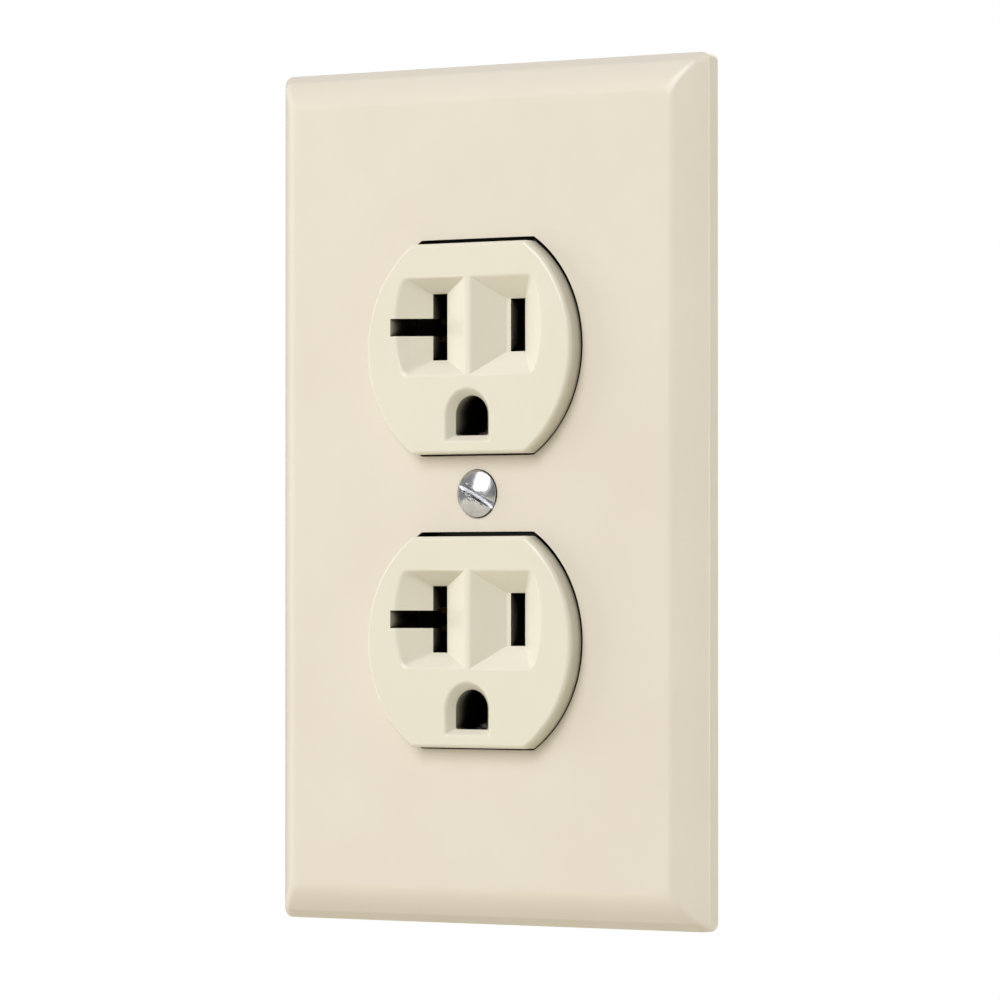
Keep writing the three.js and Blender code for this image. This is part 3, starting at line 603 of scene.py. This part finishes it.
FACE = {
    "flat": 14.0,
    "corner": 0.9,
    "edge": 0.6,  # rounding of the front edge
    "foot": -2.3,  # depth of a raised face's foot, inside the base that joins the two
    "lift": 3.0,  # blade line above the outlet's centre
    "blade": 6.35,  # each blade slot's distance from the centre line
    "width": 2.35,
    "line": 7.0,
    "neutral": 8.85,
    "arm": 2.35,
    "arm_reach": 12.75,
    "recess_reach": 12.0,
    "recess_radius": 16.9,
    "recess_half": 6.5,
    "recess_corner": 0.7,  # rounding of the mouth's two outer corners
    "ridge": 0.4,
    "lip": 0.25,  # rounding of every funnel's edge
    "ledge": 0.7,
    "line_depth": 2.75,
    "neutral_depth": 2.6,
    "above_floor": 0.6,  # a blade slot's cutter starts this far above its funnel's floor
    "ground_below": 11.9,
    "ground": 2.65,
    "ground_lead": 1.0,
    "ground_sill_lead": 0.8,
    "ground_depth": 1.1,
    "chamber_near": 4.6,
    "chamber_front": -3.45,
    "line_chamber": (8.4, 4.0),  # reach from the centre line, and half the height
    "neutral_chamber": (13.1, 4.9),
    "rivet_room": 2.5,
    "rivet_above": 6.2,  # from the ground hole
    "rivet_front": -2.15,
    "base": (16.5, 34.4, 3),  # half the width, half the height and the corner
    "base_front": -2.45,
    "base_back": -1.35,
    "in_base": -2.0,  # where the pieces on the back of the base start
    "post": 2.4,
    "post_x": 13.6,
    "post_z": 31.0,
    "post_hole": 1.4,
    "post_hole_front": -0.8,
    "collar": 3.3,
    "collar_back": -0.05,
    "screw_room": 2.6,
}


def island(z):
    """The raised face of one outlet, with its rounded front edge."""
    rings = []
    steps = 6
    for i in range(steps + 1):
        turn = math.pi / 2 * i / steps
        inset = FACE["edge"] * (1 - math.sin(turn))
        depth = FACE_FRONT + FACE["edge"] * (1 - math.cos(turn))
        corner = FACE["corner"] - inset * 0.5
        rings.append((flattened_circle(z, FACE_RADIUS - inset, FACE["flat"] - inset, corner), depth))
    rings.append((flattened_circle(z, FACE_RADIUS, FACE["flat"], FACE["corner"]), FACE["foot"]))
    return loft("island", rings)


def offset(outline, distance):
    """An anticlockwise outline moved outwards by a distance."""
    moved = []
    count = len(outline)
    for i, (a, b) in enumerate(outline):
        before, after = Vector(outline[i - 1]), Vector(outline[(i + 1) % count])
        here = Vector((a, b))
        arriving, leaving = (here - before).normalized(), (after - here).normalized()
        out = Vector((arriving.y, -arriving.x)) + Vector((leaving.y, -leaving.x))
        moved.append(tuple(here + out * (distance / (1 + arriving.dot(leaving)))))
    return moved


def funnel(mouth, throat, depth, side=1):
    """A cutter that narrows from a mouth in the face, over a rounded lip, to a throat this deep."""
    steps = 4
    wide = offset(mouth, FACE["lip"])
    bend = FACE["lip"] / depth  # share of the way down at which the lip has run out
    rings = [(wide, FACE_FRONT - 1)]
    for i in range(steps + 1):
        t = i / steps
        out, down = (1 - t) ** 2, bend * t * t
        outline = [tuple(m[k] + (w[k] - m[k]) * out + (n[k] - m[k]) * down for k in (0, 1))
                   for m, w, n in zip(mouth, wide, throat)]
        rings.append((outline, FACE_FRONT + depth * down))
    rings.append((throat, FACE_FRONT + depth))
    return loft("funnel", [([(side * a, b) for a, b in outline], y) for outline, y in rings])


def recess_cutter(z, side, depth, slot):
    """The funnel round a blade slot, from a D-shaped mouth to the slot's rectangle.

    slot is the rectangle's (near, far, half height), measured out from the centre line."""
    half, radius, corner = FACE["recess_half"], FACE["recess_radius"], FACE["recess_corner"]
    near, far, slot_half = slot
    mouth = [(FACE["ridge"], z - half)]
    throat = [(near, z - slot_half)]
    steps = 28
    for i in range(steps + 1):
        share = math.sin(math.pi * (i / steps - 0.5))
        rise = half * share
        into_corner = min(corner, max(0.0, abs(rise) - (half - corner)))
        bulge = FACE["recess_reach"] - radius + math.sqrt(radius * radius - rise * rise)
        bulge -= corner - math.sqrt(corner * corner - into_corner * into_corner)
        mouth.append((bulge, z + rise))
        throat.append((far, z + slot_half * share))
    mouth.append((FACE["ridge"], z + half))
    throat.append((near, z + slot_half))
    return funnel(mouth, throat, depth, side)


def face_cutters(z):
    """All that is cut into one outlet's face: funnels, slots, the ground hole and hidden chambers."""
    blade_z = z + FACE["lift"]
    half = FACE["width"] / 2
    line_top = FACE_FRONT + FACE["line_depth"] - FACE["above_floor"]
    neutral_top = FACE_FRONT + FACE["neutral_depth"] - FACE["above_floor"]
    near, far = FACE["blade"] - half, FACE["blade"] + half
    line, neutral = FACE["line"] / 2, FACE["neutral"] / 2
    ground_z = blade_z - FACE["ground_below"]
    mouth = arch(ground_z, FACE["ground"] + FACE["ground_lead"], FACE["ground"] + FACE["ground_sill_lead"])
    hole = arch(ground_z, FACE["ground"], FACE["ground"])
    inner, front = FACE["chamber_near"], FACE["chamber_front"]
    line_reach, line_half = FACE["line_chamber"]
    neutral_reach, neutral_half = FACE["neutral_chamber"]
    back = 1.0
    return [
        recess_cutter(blade_z, 1, FACE["line_depth"], (near - FACE["ledge"], far, line)),
        recess_cutter(blade_z, -1, FACE["neutral_depth"], (near, far, neutral)),
        block("slot", near, far, line_top, back, blade_z - line, blade_z + line),
        block("slot", -far, -near, neutral_top, back, blade_z - neutral, blade_z + neutral),
        block("arm", -FACE["arm_reach"], -near - 0.3, FACE_FRONT - 1, back,
              blade_z - FACE["arm"] / 2, blade_z + FACE["arm"] / 2),
        block("chamber", inner, line_reach, front, back, blade_z - line_half, blade_z + line_half),
        block("chamber", -neutral_reach, -inner, front, back,
              blade_z - neutral_half, blade_z + neutral_half),
        funnel(mouth, hole, FACE["ground_depth"]),
        prism("ground_hole", hole, FACE_FRONT + 0.5, back),
        prism("rivet_room", circle(FACE["rivet_room"], 64, 0, ground_z + FACE["rivet_above"]),
              FACE["rivet_front"], back),
    ]


def add_outlet_face():
    """The two outlets' faces on the base that joins them, with its posts and collars behind."""
    base = rounded_rectangle(*FACE["base"])
    face = prism("outlet_face_fine", base, FACE["base_front"], FACE["base_back"])
    centres = [z - DEVICE_DROP for z in outlet_centres]
    combine(face, [island(z) for z in centres], "UNION")
    back = face_high.y
    start = FACE["in_base"]
    places = [(x, z) for x in (-FACE["post_x"], FACE["post_x"]) for z in (-FACE["post_z"], FACE["post_z"])]
    combine(face, [prism("post", circle(FACE["post"], 48, x, z), start, back) for x, z in places], "UNION")
    grounds = [z + FACE["lift"] - FACE["ground_below"] for z in centres]
    rounds = [circle(FACE["collar"], 64, 0, z) for z in grounds]
    combine(face, [prism("collar", outline, start, FACE["collar_back"]) for outline in rounds], "UNION")
    for z in centres:
        combine(face, face_cutters(z))
    rounds = [circle(FACE["post_hole"], 32, x, z) for x, z in places]
    holes = [prism("post_hole", outline, FACE["post_hole_front"], back + 1) for outline in rounds]
    combine(face, holes + [prism("screw_room", circle(FACE["screw_room"], 64), -4, 1)])
    stand_for(face, "outlet_face", 0.2, 3, 30)


# ---------------------------------------------------------------- screws


PITCH_32 = 0.79375  # 32 threads to the inch
THREAD_DEPTH = 0.6  # of a groove, in pitches
RINGS_PER_PITCH = 8
TIP_CHAMFER = 0.7  # length of the chamfer at a screw's tip
TIP_SLOPE = 0.8
THINNEST = 0.4  # radius that the chamfer leaves


def thread_radius(y, turn, radius, pitch, start, tip):
    """A V thread's radius at a depth and a turn, running out at its start and its tip."""
    phase = (y / pitch - turn / (2 * math.pi)) % 1.0
    groove = 1 - abs(2 * phase - 1)
    groove = min(max(groove * 1.25 - 0.1, 0.0), 1.0)  # leaves a flat on the crest and in the root
    run_in = min(1.0, max(0.0, (y - start) / pitch))
    chamfer = max(0.0, y - (tip - TIP_CHAMFER)) * TIP_SLOPE
    return max(radius - THREAD_DEPTH * pitch * groove * run_in - chamfer, THINNEST)


def threaded(name, head_profile, radius, pitch, start, tip, steps):
    """A screw about Y: a turned head, then a rolled thread down to its tip, in mm."""
    made = bmesh.new()
    turns = [2 * math.pi * i / steps for i in range(steps)]
    rings = [[(r, y, t) for t in turns] for r, y in head_profile]
    count = int((tip - start) / pitch * RINGS_PER_PITCH)
    for k in range(count + 1):
        y = start + (tip - start) * k / count
        rings.append([(thread_radius(y, t, radius, pitch, start, tip), y, t) for t in turns])
    layers = [[made.verts.new((r * math.cos(t) * MM, y * MM, r * math.sin(t) * MM)) for r, y, t in ring]
              for ring in rings]
    for one, two in zip(layers, layers[1:]):
        for i in range(steps):
            j = (i + 1) % steps
            made.faces.new((one[i], one[j], two[j], two[i]))
    for layer, y in ((layers[0], head_profile[0][1]), (layers[-1], tip)):
        end = made.verts.new((0, y * MM, 0))
        for i in range(steps):
            made.faces.new((layer[i], layer[(i + 1) % steps], end))
    return solid_object(name, made)


def sphere_under(radius, rise):
    """The radius of the sphere that a dome this wide and this high is cut from."""
    return (radius * radius + rise * rise) / (2 * rise)


def domed_head(radius, rise, below, steps):
    """A head's rounded top, from near its axis out to its rim, as (radius, y) pairs."""
    sphere = sphere_under(radius, rise)
    points = []
    for i in range(steps):
        r = radius * (0.06 + 0.94 * i / (steps - 1))
        points.append((r, below - rise + sphere - math.sqrt(sphere * sphere - r * r)))
    return points


def place(item, turn, position):
    """Turns a piece made on the Y axis and moves it into place, in its mesh."""
    item.data.transform(Matrix.Translation(Vector(position) * MM) @ turn)


def ragged_slot(half_long, half_wide, top, floor, rough, seed):
    """A screwdriver slot's cutter whose long edges wander by up to rough, as on a worn slot."""
    wander = random.Random(seed)
    steps = 28
    along = [-half_long + 2 * half_long * i / steps for i in range(steps + 1)]
    low = [(x, -half_wide - wander.uniform(0, rough)) for x in along]
    high = [(x, half_wide + wander.uniform(0, rough)) for x in reversed(along)]
    return prism("slot", low + high, top, floor)


MARK_MOUTH = [(-1, -1), (0.7, -0.6), (1, 1), (-0.6, 1)]  # in half lengths and half widths of a mark
MARK_FOOT = [(-0.7, -0.9), (0.5, -0.5), (0.6, -0.3), (-0.5, -0.6)]


def gouge(x, z, long, wide, top, depth):
    """A wedge-shaped cutter for a mark left by a screwdriver: deep on one edge, nothing on the other."""
    rings = [(MARK_MOUTH, top - 0.3), (MARK_MOUTH, top), (MARK_FOOT, top + depth)]
    return loft("gouge", [([(x + long * a, z + wide * b) for a, b in outline], y) for outline, y in rings])


PLATE_SCREW = {
    "rise": 0.95,  # of the domed head
    "land": 0.3,  # the head's straight edge, which stands proud of the plate
    "bevel": 0.03,
    "cone": 1.65,  # from the land to the cone's end
    "cone_end": 1.72,
    "thread": 1.65,
    "thread_start": 1.75,  # behind the land
    "turn": 30,  # of the slot, in degrees
    # each mark's place along the slot, and its side of it
    "marks": ((-1.5, 1), (-0.9, 1), (-1.6, -1), (-0.8, -1), (0.1, -1), (1.0, -1), (1.9, -1)),
}


def add_plate_screw():
    """The plate's domed screw, with a worn slot and marks along it."""
    low, high = box_mm("plate_screw")
    length = high.y - low.y
    radius = (high.x - low.x) / 2
    rise, land, bevel = PLATE_SCREW["rise"], PLATE_SCREW["land"], PLATE_SCREW["bevel"]
    sphere = sphere_under(radius, rise)
    head = domed_head(radius, rise, 0, 14)
    head += [(radius, 0.04), (radius, land - bevel), (radius - bevel, land)]
    head += [(PLATE_SCREW["cone_end"], land + PLATE_SCREW["cone"])]
    start = land + PLATE_SCREW["thread_start"]
    screw = threaded("plate_screw_fine", head, PLATE_SCREW["thread"], PITCH_32, start, length - rise, 64)
    marks = random.Random(11)
    cutters = [ragged_slot(half_long=4, half_wide=0.45, top=-rise - 1, floor=0.25, rough=0.05, seed=31)]
    for x, side in PLATE_SCREW["marks"]:
        z = side * (0.5 + marks.uniform(0.06, 0.3))
        top = sphere - rise - math.sqrt(sphere * sphere - x * x - z * z)
        long = marks.uniform(0.3, 0.55)
        wide = marks.uniform(0.08, 0.15)
        depth = marks.uniform(0.08, 0.16)
        cutters.append(gouge(x, z, long, wide, top, depth))
    combine(screw, cutters)
    turn = Matrix.Rotation(math.radians(PLATE_SCREW["turn"]), 4, "Y")
    place(screw, turn, (0, low.y + rise, 0))
    stand_for(screw, "plate_screw", 0.03, 2, 40)


TURN_OUT = {  # turns a screw made with its head towards -Y so that its head faces this way
    "front": Matrix.Identity(4),
    "right": Matrix.Rotation(math.radians(90), 4, "Z"),
    "left": Matrix.Rotation(math.radians(-90), 4, "Z"),
    "back": Matrix.Rotation(math.radians(180), 4, "X"),
}


TERMINAL_SCREW = {"head": 3.9, "rise": 2.0, "slot": 1.1, "shank": 2.05, "pitch": PITCH_32}
BOX_SCREW = {"head": 3.5, "rise": 1.5, "slot": 1.1, "shank": 1.7, "pitch": PITCH_32}
ASSEMBLY_SCREW = {"head": 2.6, "rise": 1.6, "slot": 0.8, "shank": 1.3, "pitch": 0.7}


def add_headed_screw(node, facing, kind, spin):
    """A pan head screw that fills its CAD node's box, with its slot turned by spin degrees."""
    low, high = box_mm(node)
    size = high - low
    centre = (low + high) / 2
    length = size.x if facing in ("left", "right") else size.y
    head, rise, slot, shank = kind["head"], kind["rise"], kind["slot"], kind["shank"]
    profile = domed_head(head * 0.86, rise * 0.28, rise * 0.28, 8)
    profile += [(head * 0.95, rise * 0.36), (head, rise * 0.55), (head, rise - 0.05), (head - 0.05, rise)]
    profile.append((shank, rise))
    screw = threaded(node + "_fine", profile, shank, kind["pitch"], rise + 0.05, length, 40)
    combine(screw, [block("slot", -head - 1, head + 1, -1, rise * 0.55, -slot / 2, slot / 2)])
    top = {
        "front": (centre.x, low.y, centre.z),
        "back": (centre.x, high.y, centre.z),
        "right": (high.x, centre.y, centre.z),
        "left": (low.x, centre.y, centre.z),
    }[facing]
    place(screw, TURN_OUT[facing] @ Matrix.Rotation(math.radians(spin), 4, "Y"), top)
    stand_for(screw, node, 0.05, 2, 50)


GROUND_SCREW = {
    "height": 2.6,  # of the whole head
    "flange": 4.1,
    "flange_thick": 0.7,
    "flange_bevel": 0.06,
    "hexagon": 3.6,  # radius to its corners
    "chamfer": 0.4,
    "slot": 1.1,
    "thread": 2.35,
}


def add_ground_screw():
    """A hexagon head with a slot on a round flange, over a 10-32 thread, pointing left."""
    low, high = box_mm("ground_screw")
    centre = (low + high) / 2
    height, flange, bevel = GROUND_SCREW["height"], GROUND_SCREW["flange"], GROUND_SCREW["flange_bevel"]
    hexagon, chamfer, slot = GROUND_SCREW["hexagon"], GROUND_SCREW["chamfer"], GROUND_SCREW["slot"]
    thick, thread = GROUND_SCREW["flange_thick"], GROUND_SCREW["thread"]
    start = height - thick
    head = [(0.3, start), (flange - 0.1, start), (flange, start + 0.1)]
    head += [(flange, height - bevel), (flange - bevel, height), (thread, height)]
    screw = threaded("ground_screw_fine", head, thread, PITCH_32, height + 0.05, high.x - low.x, 48)
    outline = circle(hexagon, 6)
    cap = [(circle(hexagon - chamfer, 6), 0), (outline, chamfer), (outline, height - thick / 2)]
    combine(screw, [loft("cap", cap)], "UNION")
    combine(screw, [block("slot", -flange - 1, flange + 1, -1, slot, -slot / 2, slot / 2)])
    place(screw, TURN_OUT["left"], (low.x, centre.y, centre.z))
    stand_for(screw, "ground_screw", 0.05, 2, 25)


def add_other_screws():
    """The terminal, box and assembly screws, each with its slot at a random turn."""
    spins = random.Random(72164)
    for which in ("upper", "lower"):
        add_headed_screw(f"line_screw_{which}", "right", TERMINAL_SCREW, spins.uniform(0, 180))
        add_headed_screw(f"neutral_screw_{which}", "left", TERMINAL_SCREW, spins.uniform(0, 180))
    for end in ("top", "bottom"):
        add_headed_screw(f"box_screw_{end}", "front", BOX_SCREW, spins.uniform(0, 180))
    for i in range(1, 5):
        add_headed_screw(f"assembly_screw_{i}", "back", ASSEMBLY_SCREW, spins.uniform(0, 180))


add_wall_plate()
add_outlet_face()
add_plate_screw()
add_other_screws()
add_ground_screw()

# ---------------------------------------------------------------- CAD nodes that keep their own shape

replaced = {"wall_plate", "outlet_face"} | {node for node in nodes if "_screw" in node}
EDGE_WIDTHS = {  # in mm, 0.1 where a node isn't named
    "back_body": 0.3,
    "mounting_strap": 0.15,
    "retaining_washer_top": 0.08,
    "retaining_washer_bottom": 0.08,
}
for node, item in nodes.items():
    item.data.materials.clear()
    item.data.materials.append(SLOT_MATERIALS[slot_of[node]])
    if node not in replaced:
        soften(item, EDGE_WIDTHS.get(node, 0.1), 2, 35)
